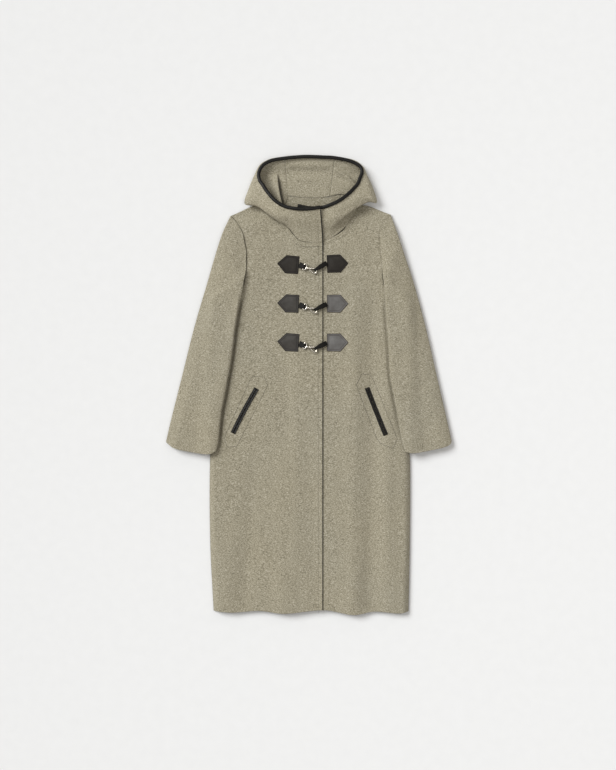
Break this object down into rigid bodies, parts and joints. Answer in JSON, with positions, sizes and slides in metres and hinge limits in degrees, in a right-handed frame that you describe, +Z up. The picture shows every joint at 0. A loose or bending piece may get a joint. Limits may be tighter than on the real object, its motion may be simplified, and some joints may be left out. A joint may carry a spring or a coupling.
{
  "type": "hooded duffle coat laid flat",
  "caption": "Long wool duffle coat with hood, leather trim and snap-hook closures, lying flat on its back.",
  "frame": {"origin": "middle of the coat's outline, on the surface that its back lies on", "axes": "+X to the wearer's left, +Y from the hem to the hood, +Z up from the surface"},
  "size_m": [0.7865, 1.2641, 0.062],
  "materials": {
    "wool_cloth": "heathered grey-beige brushed wool",
    "dark_leather": "smooth black-brown leather with a low sheen",
    "nickel": "warm plated nickel"
  },
  "bodies": {
    "root": {"back": "wool_cloth", "front_right": "wool_cloth", "front_left": "wool_cloth", "sleeve_right": "wool_cloth", "sleeve_left": "wool_cloth", "hood_right": "wool_cloth", "hood_left": "wool_cloth", "hood_centre": "wool_cloth", "binding_right": "dark_leather", "binding_left": "dark_leather", "tab_right_1": "dark_leather", "tab_right_2": "dark_leather", "tab_right_3": "dark_leather", "tab_left_1": "dark_leather", "tab_left_2": "dark_leather", "tab_left_3": "dark_leather", "welt_right_outer": "dark_leather", "welt_right_inner": "dark_leather", "welt_left_outer": "dark_leather", "welt_left_inner": "dark_leather", "keeper_1": "dark_leather", "keeper_2": "dark_leather", "keeper_3": "dark_leather", "strap_1": "dark_leather", "strap_2": "dark_leather", "strap_3": "dark_leather", "eye_1": "nickel", "swivel_1": "nickel", "hook_1": "nickel", "gate_1": "nickel", "eye_2": "nickel", "swivel_2": "nickel", "hook_2": "nickel", "gate_2": "nickel", "eye_3": "nickel", "swivel_3": "nickel", "hook_3": "nickel", "gate_3": "nickel"}
  },
  "joints": []
}
